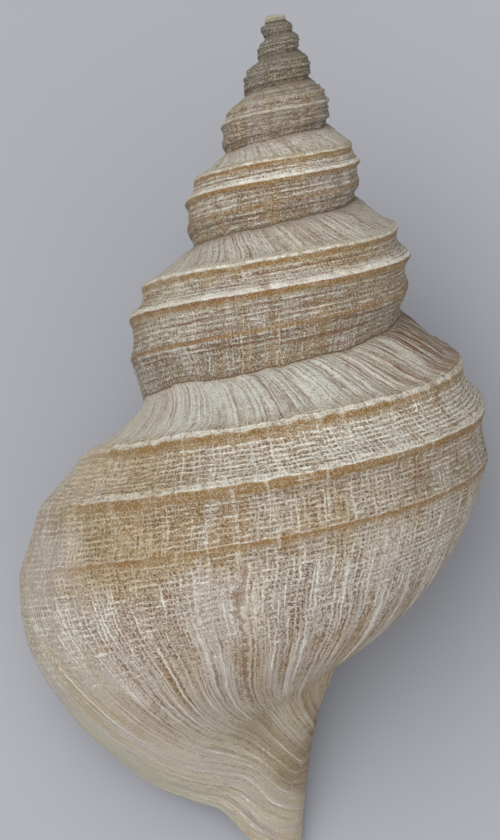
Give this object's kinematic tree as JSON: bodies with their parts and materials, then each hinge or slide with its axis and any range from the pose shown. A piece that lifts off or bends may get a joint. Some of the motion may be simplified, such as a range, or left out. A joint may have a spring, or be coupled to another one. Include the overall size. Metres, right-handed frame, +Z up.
{
  "type": "whelk shell",
  "caption": "Empty spiral sea shell with a tall keeled spire, a wide hollow body whorl and a short open canal, lying on its open side.",
  "frame": {"origin": "middle of the bounding box's base, on the surface that the shell lies on", "axes": "+Y runs from the canal to the apex, level with the surface; +Z is up, from the open side to the back; the outer lip is on the -X side"},
  "size_m": [0.0798, 0.1316, 0.0606],
  "materials": {
    "shell": "matt, chalky outside, faintly glazed inside the lip"
  },
  "bodies": {
    "root": {"shell": "shell"}
  },
  "joints": []
}
